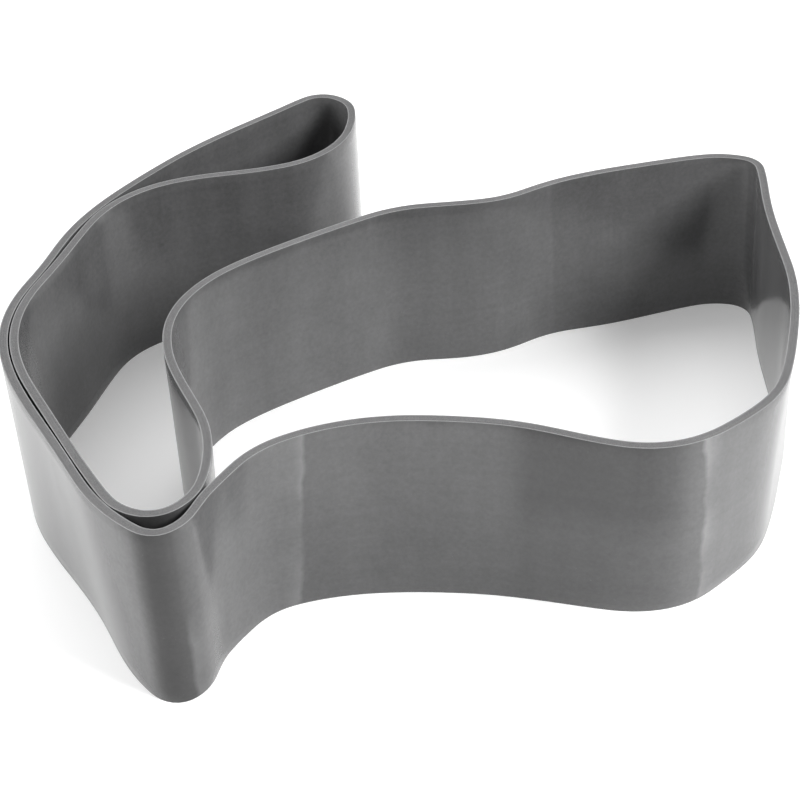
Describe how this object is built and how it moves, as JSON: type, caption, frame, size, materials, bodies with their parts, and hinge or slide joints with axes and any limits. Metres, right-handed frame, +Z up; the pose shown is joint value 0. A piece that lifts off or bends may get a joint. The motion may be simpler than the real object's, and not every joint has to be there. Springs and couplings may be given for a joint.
{
  "type": "stretching strap",
  "caption": "Wide endless latex stretching band, built of thin bonded plies, lying on its cut edge in a loose figure with a wide lobe and a narrow doubled side.",
  "frame": {"origin": "centre of the footprint's bounding box, on the surface that the lower cut edge stands on", "axes": "+Z up, across the band's width; +X towards the wide lobe; +Y away from the front wall"},
  "size_m": [0.4118, 0.4014, 0.101],
  "materials": {
    "outer_face_latex": "satin, moulded face",
    "inner_face_latex": "satin, mandrel face",
    "core_latex": "matt, cut edge"
  },
  "bodies": {
    "root": {"ply_01": "inner_face_latex", "ply_02": "core_latex", "ply_03": "core_latex", "ply_04": "core_latex", "ply_05": "core_latex", "ply_06": "core_latex", "ply_07": "core_latex", "ply_08": "core_latex", "ply_09": "core_latex", "ply_10": "core_latex", "ply_11": "core_latex", "ply_12": "core_latex", "ply_13": "core_latex", "ply_14": "core_latex", "ply_15": "outer_face_latex"}
  },
  "joints": []
}
